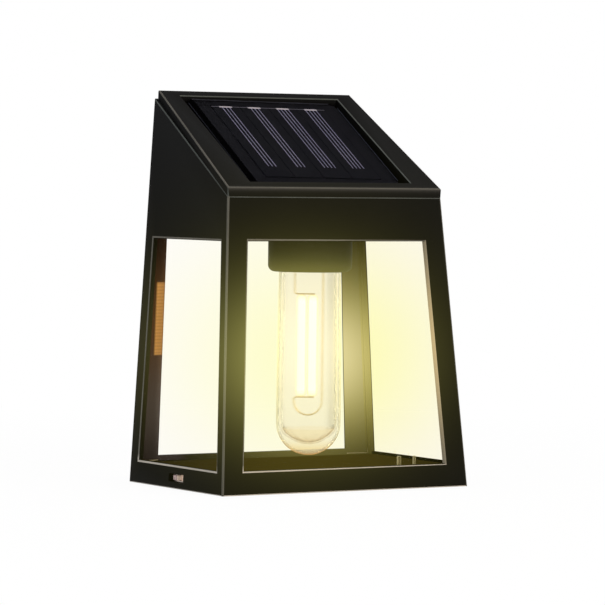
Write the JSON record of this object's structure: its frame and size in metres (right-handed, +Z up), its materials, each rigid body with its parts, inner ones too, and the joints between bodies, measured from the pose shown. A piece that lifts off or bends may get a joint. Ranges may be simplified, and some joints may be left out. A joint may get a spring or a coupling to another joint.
{
  "type": "solar wall light",
  "caption": "Tapered black wall lantern with a sloping solar roof, clear panes, a tube bulb with glowing filaments, an open back with a keyhole hanger and a slide switch.",
  "frame": {"origin": "centre of the keyhole hanger's entry hole, on the wall plane", "axes": "+Z up along the wall, +Y into the wall, +X to the right as seen from the front; the front looks along -Y"},
  "size_m": [0.112, 0.073, 0.1546],
  "materials": {
    "case_black": "fine moulded texture, satin",
    "clear_pane": "clear, polished",
    "panel_face": "clear cast resin",
    "panel_backing": "black solder mask",
    "cell_dark": "dark, slightly blue",
    "silver_print": "printed silver",
    "foam_grey": "closed-cell foam",
    "bulb_clear": "clear moulded",
    "filament_glow": "phosphor coating, lit",
    "wire_nickel": "bare nickel-plated wire",
    "board_green": "solder mask",
    "chip_black": "moulded package",
    "ferrite_grey": "sintered ferrite",
    "can_sleeve": "shrink sleeve",
    "battery_wrap": "shrink wrap, plain",
    "steel_zinc": "zinc plated",
    "contact_nickel": "nickel plated",
    "switch_phenolic": "laminated phenolic",
    "knob_white": "moulded",
    "lead_insulation": "smooth PVC"
  },
  "bodies": {
    "lantern": {"lantern_housing": "case_black", "base_plate": "case_black", "back_frame": "case_black", "ceiling_plate": "case_black", "roof_frame": "case_black", "bulb_socket": "case_black", "battery_tray": "case_black", "front_pane": "clear_pane", "left_pane": "clear_pane", "right_pane": "clear_pane", "panel_foam": "foam_grey", "panel_board": "panel_backing", "solar_cells": "cell_dark", "cell_fingers": "silver_print", "panel_cover": "panel_face", "bulb_glass": "bulb_clear", "lamp_board": "board_green", "filament_strips": "filament_glow", "support_wires": "wire_nickel", "battery_cell": "battery_wrap", "battery_contacts": "contact_nickel", "control_board": "board_green", "driver_chip": "chip_black", "power_inductor": "ferrite_grey", "capacitors": "can_sleeve", "base_screws": "steel_zinc", "back_screws": "steel_zinc", "socket_screws": "steel_zinc", "ceiling_screws": "steel_zinc", "board_screws": "steel_zinc", "switch_shell": "contact_nickel", "switch_base": "switch_phenolic", "switch_pins": "contact_nickel", "bulb_leads": "lead_insulation", "panel_leads": "lead_insulation", "battery_leads": "lead_insulation", "switch_leads": "lead_insulation"},
    "knob": {"switch_knob": "knob_white"}
  },
  "joints": [
    {"name": "switch_slide", "type": "slide", "parent": "lantern", "child": "knob", "axis": [0, -1, 0], "range_m": [0, 0.0025]}
  ]
}
